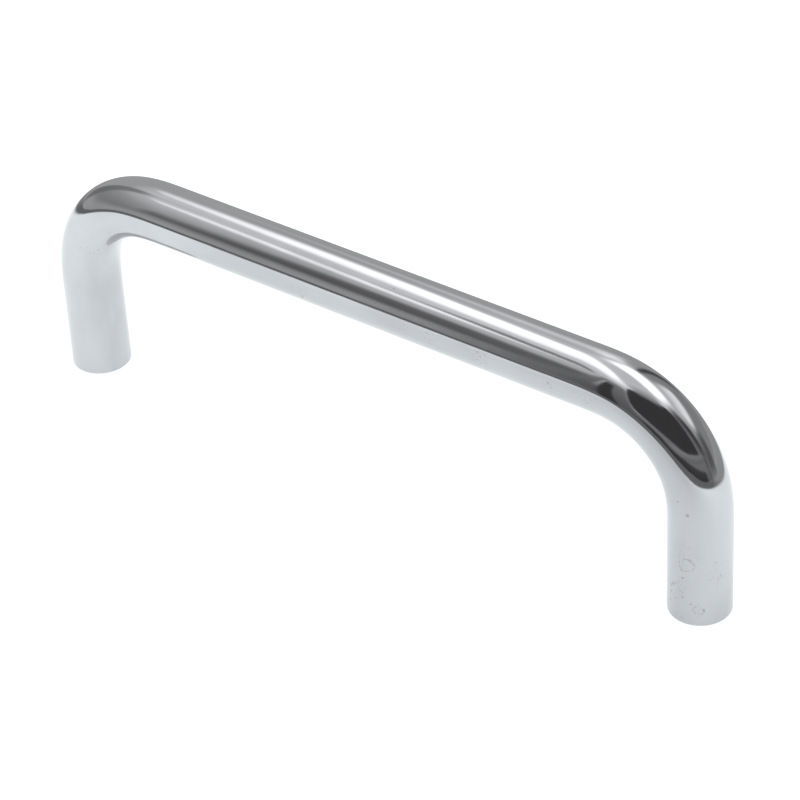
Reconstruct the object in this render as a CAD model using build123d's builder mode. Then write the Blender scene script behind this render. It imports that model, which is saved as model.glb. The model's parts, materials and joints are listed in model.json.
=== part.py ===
# Wire pull: a handle for a drawer or cabinet door, bent from one length of solid round rod.
# The two feet are faced flat, then drilled and tapped from below for the fixing screws.
# Millimetres. The origin is midway between the two screw holes, on the mounting face.
# +X runs along the grip, +Z points out of the drawer front, towards the hand.

import os
from math import radians, tan

from build123d import *

# Driving dimensions
hole_centres = 96.0  # between the two screw holes: three 32 mm cabinet modules
projection = 32.0  # from the mounting face to the outer side of the grip
rod_diameter = 8.0
bend_radius = 13.0  # to the rod's centreline
foot_edge_radius = 0.3  # polishing rounds the sawn edge of each foot this much

thread_diameter = 4.0  # M4 coarse
thread_pitch = 0.7
hole_depth = 11.0  # full-width bore, from the mounting face
drill_point_angle = 118.0
mouth_margin = 0.2  # the countersunk mouth stands this far outside the thread
mouth_angle = 90.0

# Sizes that follow
rod_radius = rod_diameter / 2
leg_x = hole_centres / 2
grip_z = projection - rod_radius
tap_drill_radius = (thread_diameter - thread_pitch) / 2
mouth_radius = thread_diameter / 2 + mouth_margin
mouth_depth = (mouth_radius - tap_drill_radius) / tan(radians(mouth_angle / 2))
point_depth = tap_drill_radius / tan(radians(drill_point_angle / 2))

# What the drill, countersink and tap take out of one foot: a half section turned about the hole's axis
with BuildPart() as screw_hole:
    with BuildSketch(Plane.XZ):
        with BuildLine():
            Polyline(
                (0, 0),
                (mouth_radius, 0),
                (tap_drill_radius, mouth_depth),
                (tap_drill_radius, hole_depth),
                (0, hole_depth + point_depth),
                close=True,
            )
        make_face()
    revolve(axis=Axis.Z)

# The rod, bent up from one foot, along the grip and down to the other foot
with BuildPart() as wire_pull:
    with BuildLine(Plane.XZ) as rod_line:
        FilletPolyline(
            (-leg_x, 0),
            (-leg_x, grip_z),
            (leg_x, grip_z),
            (leg_x, 0),
            radius=bend_radius,
        )
    with BuildSketch(Plane(origin=rod_line.line @ 0, z_dir=rod_line.line % 0)):
        Circle(rod_radius)
    sweep()
    feet = wire_pull.faces().filter_by(Plane.XY)
    fillet(feet.edges(), foot_edge_radius)
    with GridLocations(hole_centres, 0, 2, 1):
        add(screw_hole.part, mode=Mode.SUBTRACT)

wire_pull.part.label = "wire_pull"

os.makedirs("parts", exist_ok=True)
export_step(wire_pull.part, "parts/wire_pull.step")
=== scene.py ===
# Wire pull for a drawer or cabinet door: one chrome-plated rod, bent twice and tapped in both feet.
# Metres, in the CAD model's frame: +X along the grip, +Z away from the drawer front.

import json
import math

import bmesh
import bpy
from mathutils import Matrix, Vector


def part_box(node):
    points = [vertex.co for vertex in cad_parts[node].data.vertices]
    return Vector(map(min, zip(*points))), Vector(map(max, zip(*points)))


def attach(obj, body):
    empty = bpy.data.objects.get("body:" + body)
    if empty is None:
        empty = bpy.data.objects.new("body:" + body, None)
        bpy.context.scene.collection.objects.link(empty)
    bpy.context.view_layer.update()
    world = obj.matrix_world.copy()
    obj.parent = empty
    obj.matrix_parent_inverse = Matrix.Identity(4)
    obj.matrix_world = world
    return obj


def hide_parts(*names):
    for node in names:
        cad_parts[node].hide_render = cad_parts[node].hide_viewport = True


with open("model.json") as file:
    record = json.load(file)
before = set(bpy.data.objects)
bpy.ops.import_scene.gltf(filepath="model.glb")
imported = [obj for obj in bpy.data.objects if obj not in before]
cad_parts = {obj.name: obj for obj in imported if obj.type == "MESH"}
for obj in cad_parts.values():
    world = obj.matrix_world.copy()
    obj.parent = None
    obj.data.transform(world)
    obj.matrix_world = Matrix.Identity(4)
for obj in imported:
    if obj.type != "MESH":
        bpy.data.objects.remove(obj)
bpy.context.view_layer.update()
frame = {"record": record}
mm = 0.001

# sizes that come with the frame
low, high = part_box("wire_pull")
mounts = {mount["name"]: mount for mount in frame["record"]["mounts"]}
rodRadius = round(high.y - low.y, 4) / 2
gripHeight = round(high.z - low.z, 4) - rodRadius  # middle of the rod
legX = mounts["right_screw_hole"]["pos_m"][0]
boreRadius = mounts["right_screw_hole"]["dims"]["r_mm"] * mm
boreLength = mounts["right_screw_hole"]["dims"]["length_mm"] * mm
print(f"frame: rod {2000 * rodRadius:.1f} mm, holes {2000 * legX:.1f} mm apart")


def toLinear(hexColour):
    # "#c8ccd0" as the linear colour that shaders use
    channels = [int(hexColour[place:place + 2], 16) / 255 for place in (1, 3, 5)]
    linear = [c / 12.92 if c <= 0.04045 else ((c + 0.055) / 1.055) ** 2.4 for c in channels]
    return linear + [1.0]


def addNode(tree, kind, settings=None, links=None):
    # settings: properties by name, or inputs by name or number
    # links: input to a node, for its first output, or to one of its output sockets
    node = tree.nodes.new(kind)
    for name, value in (settings or {}).items():
        if isinstance(name, str) and hasattr(node, name):
            setattr(node, name, value)
        else:
            node.inputs[name].default_value = value
    for name, source in (links or {}).items():
        socket = source.outputs[0] if isinstance(source, bpy.types.Node) else source
        tree.links.new(socket, node.inputs[name])
    return node


def newMaterial(name):
    material = bpy.data.materials.new(name)
    material.use_nodes = True
    material.node_tree.nodes.clear()
    return material, material.node_tree


def newObject(name, mesh):
    thing = bpy.data.objects.new(name, mesh)
    bpy.context.scene.collection.objects.link(thing)
    return thing


# The rod

wirePull = {
    "bendRadius": 13.0 * mm,  # to the middle of the rod
    "bendEase": 6.0 * mm,  # length over which the rod goes from straight to fully bent
    "footEdge": 0.3 * mm,  # the polishing wheel rounds the sawn edge
    "mouthRadius": 2.2 * mm,  # countersunk at 90 degrees
    "drillPoint": 118,  # degrees
    "threadPitch": 0.7 * mm,  # M4 coarse
    "threadDepth": 0.36 * mm,
    "threadRunOut": 1.2 * mm,  # the tap's tapered lead
    "threadStart": 0.3,  # of a pitch, to its full depth above the mouth
    "flankSlope": 3.2,  # depths in a pitch, so the flanks are about 60 degrees apart
    "flankPeak": 1.25,  # depths; what is over 1 is left off as the flat root
    "around": 96,  # points around the rod
    "edgeRings": 6,
    "legRings": 12,
    "bendRings": 80,
    "gripRings": 48,
    "ringsPerTurn": 10,  # of the thread
    "stepsPerRing": 20,  # when the bends' middle line is worked out
    "sharpEdge": 35,  # degrees
}


def threadCut(height, turn, top, bottom):
    # how far the tap cuts outside the drilled bore; turn is 0 to 1 around the hole
    phase = (height / wirePull["threadPitch"] - turn) % 1.0
    flank = min(1.0, max(0.0, wirePull["flankPeak"] - abs(phase - 0.5) * wirePull["flankSlope"]))
    lead = min(1.0, max(0.0, (top - height) / wirePull["threadRunOut"]))
    rise = wirePull["threadStart"] * wirePull["threadPitch"]
    start = min(1.0, max(0.0, (height - bottom) / rise))
    return wirePull["threadDepth"] * flank * lead * start


def footSection():
    # half section of a foot, from the drill's point out to the side: (radius, height, tapped)
    mouthDepth = wirePull["mouthRadius"] - boreRadius
    boreTop = mouthDepth + boreLength
    point = boreRadius / math.tan(math.radians(wirePull["drillPoint"] / 2))
    section = [(0.0, boreTop + point, False), (boreRadius * 0.5, boreTop + point * 0.5, False)]
    turns = boreLength / wirePull["threadPitch"]
    rings = round(turns * wirePull["ringsPerTurn"])
    for ring in range(rings + 1):
        section.append((boreRadius, boreTop - boreLength * ring / rings, True))
    edge = wirePull["footEdge"]
    flat = rodRadius - edge
    section.append((wirePull["mouthRadius"], 0.0, False))
    section.append(((wirePull["mouthRadius"] + flat) / 2, 0.0, False))
    for ring in range(wirePull["edgeRings"] + 1):
        angle = math.pi / 2 * ring / wirePull["edgeRings"]
        section.append((flat + edge * math.sin(angle), edge - edge * math.cos(angle), False))
    return section, boreTop, mouthDepth


def bendLine():
    # middle line of one bend from the leg round to the grip, and how far it has turned;
    # the curvature eases in and out, so reflections run through without a kink
    ease = wirePull["bendEase"]
    length = wirePull["bendRadius"] * math.pi / 2 + ease
    fine = wirePull["stepsPerRing"]
    step = length / (wirePull["bendRings"] * fine)
    along, up, turned = 0.0, 0.0, 0.0
    line = [(along, up, turned)]
    for count in range(wirePull["bendRings"] * fine):
        run = (count + 0.5) * step
        bending = step * min(run / ease, 1.0, (length - run) / ease) / wirePull["bendRadius"]
        along += step * math.sin(turned + bending / 2)
        up += step * math.cos(turned + bending / 2)
        turned += bending
        if (count + 1) % fine == 0:
            line.append((along, up, turned))
    return line


def rodRings():
    # (middle, outward direction) of each ring from one foot's edge to the other's
    bend = bendLine()
    legTop = gripHeight - bend[-1][1]
    gripEnd = legX - bend[-1][0]
    rings = []
    for ring in range(1, wirePull["legRings"]):
        share = ring / wirePull["legRings"]
        height = wirePull["footEdge"] + (legTop - wirePull["footEdge"]) * share
        rings.append((Vector((-legX, 0, height)), Vector((-1, 0, 0))))
    for along, up, turned in bend:
        outward = Vector((-math.cos(turned), 0, math.sin(turned)))
        rings.append((Vector((along - legX, 0, legTop + up)), outward))
    for ring in range(1, wirePull["gripRings"] // 2):
        share = ring / (wirePull["gripRings"] // 2)
        rings.append((Vector((-gripEnd * (1 - share), 0, gripHeight)), Vector((0, 0, 1))))
    mirrored = [(Vector((-middle.x, 0, middle.z)), Vector((-outward.x, 0, outward.z)))
                for middle, outward in reversed(rings)]
    return rings + [(Vector((0, 0, gripHeight)), Vector((0, 0, 1)))] + mirrored


def buildRod():
    across = Vector((0, 1, 0))
    around = wirePull["around"]
    section, boreTop, boreBottom = footSection()
    mesh = bmesh.new()
    plating = mesh.verts.layers.float.new("plating")  # how well the plating covers, 0 to 1
    unrolled = mesh.loops.layers.uv.new("unrolled")  # metres around and along the rod
    rows = []  # one ring of vertices after another, from one drill point to the other

    def addRing(middle, outward, radius, tapped=False):
        row = []
        for step in range(around):
            angle = 2 * math.pi * step / around
            spoke = outward * math.cos(angle) + across * math.sin(angle)
            reach = radius
            if tapped:
                turn = math.atan2(spoke.y, spoke.x) / (2 * math.pi)
                reach += threadCut(middle.z, turn, boreTop, boreBottom)
            vertex = mesh.verts.new(middle + spoke * reach)
            vertex[plating] = 0.0 if tapped else 1.0
            row.append(vertex)
        return row

    def addFoot(side):
        outward = Vector((side, 0, 0))
        foot = []
        for radius, height, tapped in section:
            middle = Vector((side * legX, 0, height))
            if radius == 0:
                tip = mesh.verts.new(middle)
                tip[plating] = 0.0
                foot.append([tip])
            else:
                foot.append(addRing(middle, outward, radius, tapped))
        return foot

    rows += addFoot(-1)
    for middle, outward in rodRings():
        rows.append(addRing(middle, outward, rodRadius))
    rows += reversed(addFoot(1))

    run = 0.0
    for row, after in zip(rows, rows[1:]):
        reach = (after[0].co - row[0].co).length
        for step in range(around):
            corners = [(row[step % len(row)], step, run),
                       (row[(step + 1) % len(row)], step + 1, run),
                       (after[(step + 1) % len(after)], step + 1, run + reach),
                       (after[step % len(after)], step, run + reach)]
            if len(row) == 1:
                corners.pop(0)
            if len(after) == 1:
                corners.pop()
            face = mesh.faces.new([corner[0] for corner in corners])
            for loop, (vertex, turn, along) in zip(face.loops, corners):
                loop[unrolled].uv = (2 * math.pi * rodRadius * turn / around, along)
        run += reach
    bmesh.ops.recalc_face_normals(mesh, faces=mesh.faces)
    for face in mesh.faces:
        face.smooth = True
    data = bpy.data.meshes.new("chromeRod")
    mesh.to_mesh(data)
    mesh.free()
    data.set_sharp_from_angle(angle=math.radians(wirePull["sharpEdge"]))
    return newObject("chromeRod", data)


rod = buildRod()
print(f"rod: {len(rod.data.polygons)} faces")


# Chrome plate on a polished steel rod: a cold, nearly neutral mirror that shows the room, dulled here
# and there by dried water, finger film, scuffs and a few pits in the plating.

chrome = {
    "colour": "#c3c4c7",  # chromium gives back a little over half of the light
    "filmed": "#b9babd",
    "stained": "#aaabac",
    "pitted": "#a5a5a5",
    "bareSteel": "#8b8884",  # the tapped holes take next to no plating
    "roughness": 0.045,
    "filmRoughness": 0.09,
    "stainRoughness": 0.18,
    "steelRoughness": 0.38,
    "filmWidth": 6.0 * mm,  # wiped along the rod
    "filmLength": 16.0 * mm,
    "waveSize": 2.6 * mm,  # the buffing wheel leaves the rod very slightly uneven
    "waveDepth": 0.004 * mm,
    "buffWidth": 0.4 * mm,  # real buffing lines are a tenth as wide, too fine to show
    "buffLength": 11.0 * mm,
    "buffDepth": 0.003 * mm,
    "crook": 1.3 * mm,  # noise pushes marks out of round by up to half of this
    "crookSize": 1.1 * mm,
    "rimWidth": 0.1,  # of a dried drop's radius, to each side of its outline
    "rimBreak": 0.5 * mm,  # gaps in that outline
    "scuffWidth": 0.16 * mm,
    "scuffLength": 0.6 * mm,
    "pitSpacing": 2.6 * mm,
    "pitRadius": 0.1 * mm,
    "pitDepth": 0.001 * mm,
    # marks that show in the photograph, seen from the front: x, z and radius in mm
    "drops": [(48.5, 9, 1), (47, 4.5, 1), (50, 2.5, 0.6)],
    "scuffs": [(48, 10, 2), (47.5, 5.5, 1.5), (50, 2.5, 1.2), (51.5, 7.5, 1.5), (-44.5, 20.5, 1.3),
               (19, 27.5, 2.5), (11.5, 28, 2), (29, 28, 1), (34.5, 28, 2), (7, 28, 1.3), (-9, 27, 1.5)],
    "specks": [(47.5, 18, 0.15), (48.5, 16.5, 0.25), (48, 7, 0.2), (46, 2.5, 0.2), (48, 4, 0.15),
               (49, 3.5, 0.15), (50.5, 2.5, 0.2), (48, 1, 0.15), (51.5, 9.5, 0.15), (29, 28, 0.2),
               (19.5, 28, 0.15), (11.5, 28.5, 0.15), (-8, 26.5, 0.2), (5, 31.5, 0.15), (-43.5, 20.5, 0.15)],
}


def frontOfRod(x, z):
    # the point of the rod's front here; past the bends' centres the rod is one bend radius away
    beyond = max(0.0, abs(x) - (legX - wirePull["bendRadius"]))
    above = max(0.0, z - (gripHeight - wirePull["bendRadius"]))
    off = math.hypot(beyond, above) - wirePull["bendRadius"]
    return Vector((x, -math.sqrt(max(0.0, rodRadius ** 2 - off ** 2)), z))


def chromePlate():
    material, tree = newMaterial("chromePlateOnPolishedSteel")
    place = addNode(tree, "ShaderNodeTexCoord").outputs["Object"]

    # places around and along the rod, without a seam
    unrolled = addNode(tree, "ShaderNodeSeparateXYZ", links={
        0: addNode(tree, "ShaderNodeUVMap", {"uv_map": "unrolled"})})
    angle = addNode(tree, "ShaderNodeMath", {"operation": "DIVIDE", 1: rodRadius},
                    {0: unrolled.outputs["X"]})
    wrapped = addNode(tree, "ShaderNodeCombineXYZ", links={
        "X": addNode(tree, "ShaderNodeMath", {"operation": "COSINE"}, {0: angle}),
        "Y": addNode(tree, "ShaderNodeMath", {"operation": "SINE"}, {0: angle}),
        "Z": unrolled.outputs["Y"]})

    def streaks(width, length, detail):
        # noise drawn out along the rod
        across = rodRadius / width
        drawn = addNode(tree, "ShaderNodeMapping", {"Scale": (across, across, 1 / length)},
                        {"Vector": wrapped})
        return addNode(tree, "ShaderNodeTexNoise", {"Scale": 1.0, "Detail": detail}, {"Vector": drawn})

    # marks are crooked, so places are pushed about a little
    push = chrome["crook"]
    wander = addNode(tree, "ShaderNodeTexNoise", {"Scale": 1 / chrome["crookSize"], "Detail": 3.0},
                     {"Vector": place})
    pushed = addNode(tree, "ShaderNodeVectorMath", {
        "operation": "MULTIPLY_ADD", 1: (push, push, push), 2: (-push / 2, -push / 2, -push / 2)},
        {0: wander.outputs["Color"]})
    crooked = addNode(tree, "ShaderNodeVectorMath", {"operation": "ADD"}, {0: pushed, 1: place})

    def nearest(marks):
        # distance to the nearest mark, counted in that mark's radius
        found = None
        for x, z, radius in marks:
            away = addNode(tree, "ShaderNodeVectorMath", {
                "operation": "DISTANCE", 1: frontOfRod(x * mm, z * mm)}, {0: crooked})
            share = addNode(tree, "ShaderNodeMath", {"operation": "DIVIDE", 1: radius * mm},
                            {0: away.outputs["Value"]})
            if found:
                share = addNode(tree, "ShaderNodeMath", {"operation": "MINIMUM"}, {0: found, 1: share})
            found = share
        return found

    # dried drops leave a thin broken outline
    onRim = addNode(tree, "ShaderNodeMath", {"operation": "COMPARE", 1: 1.0, 2: chrome["rimWidth"]},
                    {0: nearest(chrome["drops"])})
    gaps = addNode(tree, "ShaderNodeTexNoise", {"Scale": 1 / chrome["rimBreak"], "Detail": 1.0},
                   {"Vector": place})
    left = addNode(tree, "ShaderNodeMapRange", {"From Min": 0.4, "From Max": 0.55}, {"Value": gaps})
    rims = addNode(tree, "ShaderNodeMath", {"operation": "MULTIPLY"}, {0: onRim, 1: left})

    # scuffs are short dashes along the rod, in patches
    dashes = addNode(tree, "ShaderNodeMapRange", {"From Min": 0.58, "From Max": 0.66},
                     {"Value": streaks(chrome["scuffWidth"], chrome["scuffLength"], 1.0)})
    patches = addNode(tree, "ShaderNodeMapRange", {"From Min": 1.2, "From Max": 0.4, "To Max": 0.7},
                      {"Value": nearest(chrome["scuffs"])})
    scuffs = addNode(tree, "ShaderNodeMath", {"operation": "MULTIPLY"}, {0: dashes, 1: patches})
    stains = addNode(tree, "ShaderNodeMath", {"operation": "MAXIMUM"}, {0: rims, 1: scuffs})

    # specks, and pits scattered over the rest, in about one cell of eight
    dots = addNode(tree, "ShaderNodeMapRange", {"From Min": 1.3, "From Max": 0.6},
                   {"Value": nearest(chrome["specks"])})
    cells = addNode(tree, "ShaderNodeTexVoronoi", {"Scale": 1 / chrome["pitSpacing"]}, {"Vector": place})
    pitEdge = chrome["pitRadius"] / chrome["pitSpacing"]
    holes = addNode(tree, "ShaderNodeMapRange", {"From Min": 1.2 * pitEdge, "From Max": 0.5 * pitEdge},
                    {"Value": cells.outputs["Distance"]})
    pick = addNode(tree, "ShaderNodeSeparateColor", links={0: cells.outputs["Color"]})
    few = addNode(tree, "ShaderNodeMapRange", {"From Min": 0.84, "From Max": 0.92, "To Max": 0.7},
                  {"Value": pick.outputs["Red"]})
    pits = addNode(tree, "ShaderNodeMath", {"operation": "MULTIPLY"}, {0: holes, 1: few})
    spots = addNode(tree, "ShaderNodeMath", {"operation": "MAXIMUM"}, {0: dots, 1: pits})

    # film of polish and fingers, in soft patches wiped along the rod
    film = addNode(tree, "ShaderNodeMapRange", {
        "interpolation_type": "SMOOTHSTEP", "From Min": 0.36, "From Max": 0.7},
        {"Value": streaks(chrome["filmWidth"], chrome["filmLength"], 3.0)})
    plating = addNode(tree, "ShaderNodeAttribute", {"attribute_name": "plating"}).outputs["Fac"]

    # inputs 6 and 7 of a colour mix are its two colours, and output 2 is the result
    colour = addNode(tree, "ShaderNodeMix", {
        "data_type": "RGBA", 6: toLinear(chrome["colour"]), 7: toLinear(chrome["filmed"])},
        {"Factor": film})
    for amount, tone in ((stains, "stained"), (spots, "pitted")):
        colour = addNode(tree, "ShaderNodeMix", {"data_type": "RGBA", 7: toLinear(chrome[tone])},
                         {"Factor": amount, 6: colour.outputs[2]})
    colour = addNode(tree, "ShaderNodeMix", {"data_type": "RGBA", 6: toLinear(chrome["bareSteel"])},
                     {"Factor": plating, 7: colour.outputs[2]})

    dull = addNode(tree, "ShaderNodeMapRange", {
        "To Min": chrome["roughness"], "To Max": chrome["filmRoughness"]}, {"Value": film})
    for amount in (stains, spots):
        dull = addNode(tree, "ShaderNodeMix", {"B": chrome["stainRoughness"]},
                       {"Factor": amount, "A": dull})
    dull = addNode(tree, "ShaderNodeMix", {"A": chrome["steelRoughness"]},
                   {"Factor": plating, "B": dull})

    # the wheel's faint waves, its lines along the rod, and the pits
    waves = addNode(tree, "ShaderNodeTexNoise", {"Scale": 1 / chrome["waveSize"], "Detail": 1.0},
                    {"Vector": place})
    uneven = addNode(tree, "ShaderNodeBump", {"Distance": chrome["waveDepth"]}, {"Height": waves})
    buffed = addNode(tree, "ShaderNodeBump", {"Distance": chrome["buffDepth"]}, {
        "Height": streaks(chrome["buffWidth"], chrome["buffLength"], 3.0), "Normal": uneven})
    sunk = addNode(tree, "ShaderNodeBump", {"Distance": chrome["pitDepth"], "invert": True},
                   {"Height": spots, "Normal": buffed})

    shader = addNode(tree, "ShaderNodeBsdfPrincipled", {"Metallic": 1.0}, {
        "Base Color": colour.outputs[2], "Roughness": dull, "Normal": sunk})
    addNode(tree, "ShaderNodeOutputMaterial", links={"Surface": shader})
    return material


rod.data.materials.append(chromePlate())
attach(rod, "root")
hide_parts("wire_pull")
print("chrome: plated")


# Camera, as the photograph was taken: azimuth counts from -Y towards +X

cameraSetup = {
    "azimuth": 38.85,
    "elevation": 35.5,
    "roll": -3.3,
    "distance": 400.8 * mm,
    "aim": (3.45 * mm, 0.0, 13.05 * mm),
    "lens": 143.8,  # mm
    "sensor": 36,  # mm
    "clipStart": 0.01,
}


def facingAxes(azimuth, elevation, roll=0.0):
    # right, up and back of something that looks at the pull from this side
    turn, lift, tilt = (math.radians(angle) for angle in (azimuth, elevation, roll))
    back = Vector((math.sin(turn) * math.cos(lift), -math.cos(turn) * math.cos(lift), math.sin(lift)))
    right = Vector((math.cos(turn), math.sin(turn), 0))
    up = back.cross(right)
    tiltedRight = right * math.cos(tilt) + up * math.sin(tilt)
    tiltedUp = up * math.cos(tilt) - right * math.sin(tilt)
    return tiltedRight, tiltedUp, back


def placeFacing(thing, middle, axes):
    turned = Matrix(axes).transposed().to_4x4()
    thing.matrix_world = Matrix.Translation(middle) @ turned @ Matrix.Diagonal(thing.scale).to_4x4()


lensData = bpy.data.cameras.new("camera")
lensData.sensor_width = cameraSetup["sensor"]
lensData.lens = cameraSetup["lens"]
lensData.clip_start = cameraSetup["clipStart"]
camera = newObject("camera", lensData)
cameraAxes = facingAxes(cameraSetup["azimuth"], cameraSetup["elevation"], cameraSetup["roll"])
placeFacing(camera, Vector(cameraSetup["aim"]) + cameraAxes[2] * cameraSetup["distance"], cameraAxes)
bpy.context.scene.camera = camera
bpy.context.scene.view_settings.view_transform = "Standard"
print(f"camera: {cameraSetup['lens']} mm lens")


# Studio: a lit white floor, softboxes hung flat overhead, and boards standing around the pull.
# Only the chrome sees the softboxes and boards. They are where its reflections show them.

studio = {
    "acrylic": "#f0f4f5",
    "glow": 1.43,
    "glowShare": 0.6,
    "sheet": (425 * mm, 210 * mm),
    "sheetMiddle": (-10 * mm, -35 * mm, 0.0),
    "sheetTurn": 9,  # degrees
    "sheetFade": 0.09,
    "sheetCorner": 2.3,
    "shade": (45 * mm, -90 * mm, 0.0),  # where the camera keeps light off the sheet
    "shadeReach": 130 * mm,
    "shadeGlow": 0.45,
    "floorRadius": 4.0,
    "floorDrop": 0.02 * mm,  # keeps it clear of the feet
    "table": 900 * mm,
    "tableDrop": 5 * mm,
    "tableGreys": (0.2, 0.45),  # in front and behind
    "tableBlend": (0.0, 110 * mm),
    # elevation and brightness
    "roomGreys": [(-90, 0.2), (0, 0.5), (35, 0.55), (50, 0.8), (60, 1.0), (90, 0.9)],
    "keySize": 2.4,
    "keyHeight": 1.0,
    "keyPower": 16.0,
    "softboxHeight": 0.47,
    "softboxFade": 0.3,
    "softboxCorner": 4,
    "boardCorner": 8,
    "bendInset": 6 * mm,  # from the rod's middle lines to where boards are seen from
}

# hung flat: middle and size in metres, turn in degrees, brightness from one long edge to the other;
# a grey scrim and a dark rail hang among the softboxes
softboxes = [
    {"name": "backSoftbox", "middle": (0.08, 0.17), "size": (0.58, 0.27), "turn": -25, "glow": (2.8, 2.2)},
    {"name": "frontSoftbox", "middle": (-0.2, 0.01), "size": (0.82, 0.16), "turn": -56, "glow": (1.6, 2.4)},
    {"name": "greyScrim", "middle": (0.15, -0.14), "size": (0.34, 0.2), "turn": 37, "glow": (0.2, 0.8)},
    {"name": "darkRail", "middle": (-0.23, -0.23), "size": (0.24, 0.06), "turn": -72, "glow": (0.35, 0.35)},
]

# upright: edges as azimuths and elevations seen from a bend, brightness from bottom to top;
# a board with a roll leans, and its azimuths hold level with the bend
nearBend = Vector((legX - studio["bendInset"], 0, gripHeight - studio["bendInset"]))
nearBoards = [
    # behind the camera
    {"name": "paleCorner", "across": (15, 95), "up": (9, 16), "roll": 8, "distance": 0.35,
     "glow": (0.2, 0.35), "fade": 0.25},
    {"name": "blackBoard", "across": (-5, 84), "up": (14.5, 66), "distance": 0.4,
     "glow": (0.06, 0.06), "fade": 0.03},
    {"name": "tableShade", "across": (-15, 95), "up": (-5, 6), "distance": 0.85,
     "glow": (0.05, 0.08), "fade": 0.25},
    {"name": "tableEdge", "across": (-10, 95), "up": (4, 15), "distance": 0.9,
     "glow": (0.25, 0.25), "fade": 0.2},
    # a post beside the camera, before a doorway
    {"name": "paleLine", "across": (-26, -24), "up": (20, 45), "distance": 0.65,
     "glow": (0.4, 0.6), "fade": 0.3},
    {"name": "darkPost", "across": (-24, -17), "up": (-20, 42), "distance": 0.7,
     "glow": (0.06, 0.06), "fade": 0.2},
    {"name": "doorway", "across": (-31, -5), "up": (-8, 50), "distance": 1.1,
     "glow": (0.14, 0.3), "fade": 0.2},
    {"name": "curtain", "across": (-43, -29), "up": (14, 36), "distance": 1.2,
     "glow": (0.15, 0.2), "fade": 0.35},
    # right
    {"name": "darkFlag", "across": (95, 107), "up": (9, 52), "distance": 0.85,
     "glow": (0.05, 0.05), "fade": 0.5},
    {"name": "greyFlag", "across": (82, 100), "up": (-5, 55), "distance": 0.95,
     "glow": (0.25, 0.2), "fade": 0.3},
    {"name": "lowFlag", "across": (103, 120), "up": (-1, 28), "roll": -28, "distance": 1.0,
     "glow": (0.15, 0.15), "fade": 0.4},
    {"name": "window", "across": (122, 175), "up": (30, 50), "distance": 1.05,
     "glow": (1.5, 0.9), "fade": 0.3},
    {"name": "rightWall", "across": (105, 185), "up": (3, 32), "distance": 1.15,
     "glow": (0.36, 0.36), "fade": 0.2},
    # back
    {"name": "backPost", "across": (185, 191), "up": (-10, 49), "distance": 0.9,
     "glow": (0.1, 0.1), "fade": 0.35},
    {"name": "backFlag", "across": (170, 190), "up": (-5, 52), "distance": 0.95,
     "glow": (0.35, 0.4), "fade": 0.4},
    {"name": "smallLamp", "across": (-158, -143), "up": (27, 48), "distance": 1.2,
     "glow": (1.0, 1.7), "fade": 0.45},
]
farBend = Vector((-nearBend.x, 0, nearBend.z))
farBoards = [
    {"name": "leftFlag", "across": (-113, -98), "up": (-8, 54), "roll": -14, "distance": 0.95,
     "glow": (0.2, 0.38), "fade": 0.3},
    {"name": "stripLight", "across": (-82, -55), "up": (50, 54), "roll": -8, "distance": 1.0,
     "glow": (1.2, 1.8), "fade": 0.35},
    {"name": "leftWall", "across": (-100, -35), "up": (8, 34), "distance": 1.05,
     "glow": (0.3, 0.5), "fade": 0.3},
]


def flatSheet(name, width, depth):
    # corners at plus and minus one, so that object coordinates run across it
    data = bpy.data.meshes.new(name)
    data.from_pydata([(-1, -1, 0), (1, -1, 0), (1, 1, 0), (-1, 1, 0)], [], [(0, 1, 2, 3)])
    sheet = newObject(name, data)
    sheet.scale = (width / 2, depth / 2, 1)
    return sheet


def showOnlyToChrome(sheet):
    sheet.visible_camera = False
    sheet.visible_diffuse = False
    sheet.visible_transmission = False
    sheet.visible_volume_scatter = False
    sheet.visible_shadow = False


def fadingSurface(tree, split, surface, fade, corner):
    # see-through towards the edges of a rounded sheet: corner 2 is an oval, 8 nearly square
    powers = []
    for axis in ("X", "Y"):
        off = addNode(tree, "ShaderNodeMath", {"operation": "ABSOLUTE"}, {0: split.outputs[axis]})
        powers.append(addNode(tree, "ShaderNodeMath", {"operation": "POWER", 1: corner}, {0: off}))
    total = addNode(tree, "ShaderNodeMath", {"operation": "ADD"}, {0: powers[0], 1: powers[1]})
    reach = addNode(tree, "ShaderNodeMath", {"operation": "POWER", 1: 1 / corner}, {0: total})
    cover = addNode(tree, "ShaderNodeMapRange", {
        "interpolation_type": "SMOOTHSTEP", "From Min": 1.0, "From Max": 1.0 - 2 * fade},
        {"Value": reach})
    clear = addNode(tree, "ShaderNodeBsdfTransparent")
    mix = addNode(tree, "ShaderNodeMixShader", links={0: cover, 1: clear, 2: surface})
    addNode(tree, "ShaderNodeOutputMaterial", links={"Surface": mix})


def glowingMaterial(name, glow, fade, corner):
    material, tree = newMaterial(name)
    place = addNode(tree, "ShaderNodeTexCoord")
    split = addNode(tree, "ShaderNodeSeparateXYZ", links={0: place.outputs["Object"]})
    strength = addNode(tree, "ShaderNodeMapRange", {
        "interpolation_type": "SMOOTHSTEP", "From Min": -1.0, "From Max": 1.0,
        "To Min": glow[0], "To Max": glow[1]}, {"Value": split.outputs["Y"]})
    emission = addNode(tree, "ShaderNodeEmission", links={"Strength": strength})
    fadingSurface(tree, split, emission, fade, corner)
    return material


def hangSoftbox(box):
    sheet = flatSheet(box["name"], *box["size"])
    sheet.location = (*box["middle"], studio["softboxHeight"])
    sheet.rotation_euler.z = math.radians(box["turn"])
    sheet.data.materials.append(glowingMaterial(
        box["name"], box["glow"], studio["softboxFade"], studio["softboxCorner"]))
    showOnlyToChrome(sheet)


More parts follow.
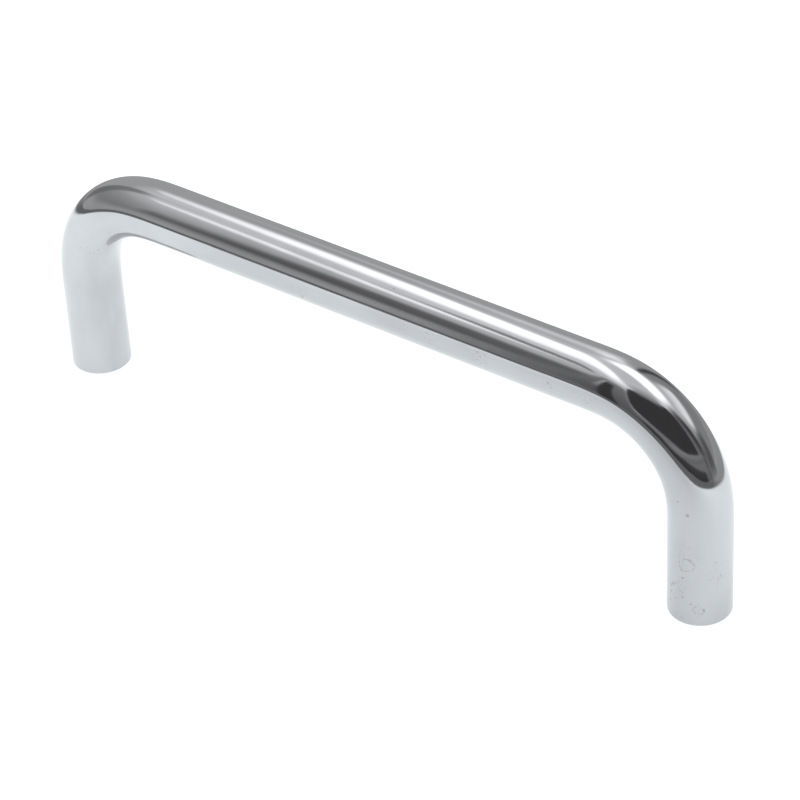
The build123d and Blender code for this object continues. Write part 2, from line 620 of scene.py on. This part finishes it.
def standBoard(board, bend):
    left, right = board["across"]
    bottom, top = (board["distance"] * math.tan(math.radians(edge)) for edge in board["up"])
    whole = 1 - board["fade"]  # the edges are where a board has half faded
    width = 2 * board["distance"] * math.tan(math.radians(right - left) / 2) / whole
    sheet = flatSheet(board["name"], width, (top - bottom) / whole)
    axes = facingAxes((left + right) / 2, 0, board.get("roll", 0))
    middle = bend + axes[2] * board["distance"] + axes[1] * (bottom + top) / 2
    placeFacing(sheet, middle, axes)
    sheet.data.materials.append(glowingMaterial(
        board["name"], board["glow"], board["fade"], studio["boardCorner"]))
    showOnlyToChrome(sheet)


def acrylic(tree, glow):
    # lit from below as well as from above, so shadows on it stay faint
    lit = addNode(tree, "ShaderNodeBsdfDiffuse", {"Color": toLinear(studio["acrylic"])})
    return addNode(tree, "ShaderNodeMixShader", {0: studio["glowShare"]}, {1: lit, 2: glow})


# the camera sees a white floor without end; the chrome sees a sheet that fades into a dark table

def buildFloor():
    endless, tree = newMaterial("milkWhiteAcrylic")
    glow = addNode(tree, "ShaderNodeEmission", {
        "Color": toLinear(studio["acrylic"]), "Strength": studio["glow"]})
    addNode(tree, "ShaderNodeOutputMaterial", links={"Surface": acrylic(tree, glow)})
    floor = flatSheet("floor", 2 * studio["floorRadius"], 2 * studio["floorRadius"])
    floor.location.z = -studio["floorDrop"]
    floor.data.materials.append(endless)
    floor.visible_glossy = False


def buildSheet():
    edged, tree = newMaterial("milkWhiteAcrylicSheet")
    place = addNode(tree, "ShaderNodeTexCoord")
    split = addNode(tree, "ShaderNodeSeparateXYZ", links={0: place.outputs["Object"]})
    spot = addNode(tree, "ShaderNodeNewGeometry")
    away = addNode(tree, "ShaderNodeVectorMath", {"operation": "DISTANCE", 1: studio["shade"]},
                   {0: spot.outputs["Position"]})
    shaded = addNode(tree, "ShaderNodeMapRange", {
        "interpolation_type": "SMOOTHSTEP", "From Max": studio["shadeReach"],
        "To Min": studio["shadeGlow"] * studio["glow"], "To Max": studio["glow"]},
        {"Value": away.outputs["Value"]})
    glow = addNode(tree, "ShaderNodeEmission", {"Color": toLinear(studio["acrylic"])},
                   {"Strength": shaded})
    fadingSurface(tree, split, acrylic(tree, glow), studio["sheetFade"], studio["sheetCorner"])
    sheet = flatSheet("acrylicSheet", *studio["sheet"])
    sheet.location = studio["sheetMiddle"]
    sheet.rotation_euler.z = math.radians(studio["sheetTurn"])
    sheet.data.materials.append(edged)
    showOnlyToChrome(sheet)


def buildTable():
    grey, tree = newMaterial("darkTable")
    spot = addNode(tree, "ShaderNodeSeparateXYZ", links={
        0: addNode(tree, "ShaderNodeNewGeometry").outputs["Position"]})
    inFront, behind = studio["tableBlend"]
    frontGrey, backGrey = studio["tableGreys"]
    shaded = addNode(tree, "ShaderNodeMapRange", {
        "interpolation_type": "SMOOTHSTEP", "From Min": inFront, "From Max": behind,
        "To Min": frontGrey, "To Max": backGrey}, {"Value": spot.outputs["Y"]})
    shader = addNode(tree, "ShaderNodeEmission", links={"Strength": shaded})
    addNode(tree, "ShaderNodeOutputMaterial", links={"Surface": shader})
    table = flatSheet("tableTop", studio["table"], studio["table"])
    table.location.z = -studio["tableDrop"]
    table.data.materials.append(grey)
    showOnlyToChrome(table)


def buildRoom():
    world = bpy.data.worlds.new("greyRoom")
    world.use_nodes = True
    tree = world.node_tree
    tree.nodes.clear()
    place = addNode(tree, "ShaderNodeTexCoord")
    split = addNode(tree, "ShaderNodeSeparateXYZ", links={0: place.outputs["Generated"]})
    height = addNode(tree, "ShaderNodeMapRange", {"From Min": -1.0}, {"Value": split.outputs["Z"]})
    ramp = addNode(tree, "ShaderNodeValToRGB", links={0: height})
    stops = ramp.color_ramp.elements
    while len(stops) < len(studio["roomGreys"]):
        stops.new(0.5)
    for stop, (elevation, grey) in zip(stops, studio["roomGreys"]):
        stop.position = (math.sin(math.radians(elevation)) + 1) / 2
        stop.color = (grey, grey, grey, 1)
    room = addNode(tree, "ShaderNodeBackground", links={"Color": ramp})
    backdrop = addNode(tree, "ShaderNodeBackground", {"Color": toLinear("#ffffff")})
    rays = addNode(tree, "ShaderNodeLightPath")
    mix = addNode(tree, "ShaderNodeMixShader", links={
        0: rays.outputs["Is Camera Ray"], 1: room, 2: backdrop})
    addNode(tree, "ShaderNodeOutputWorld", links={"Surface": mix})
    bpy.context.scene.world = world


def buildKeyLight():
    light = bpy.data.lights.new("keySoftbox", "AREA")
    light.shape = "DISK"
    light.size = studio["keySize"]
    light.energy = studio["keyPower"]
    lamp = newObject("keySoftbox", light)
    lamp.location = (0, 0, studio["keyHeight"])
    lamp.visible_glossy = False  # the chrome shows the hung softboxes instead


buildFloor()
buildSheet()
buildTable()
buildRoom()
buildKeyLight()
for box in softboxes:
    hangSoftbox(box)
for board in nearBoards:
    standBoard(board, nearBend)
for board in farBoards:
    standBoard(board, farBend)
print(f"studio: {len(softboxes)} hung sheets, {len(nearBoards) + len(farBoards)} boards")
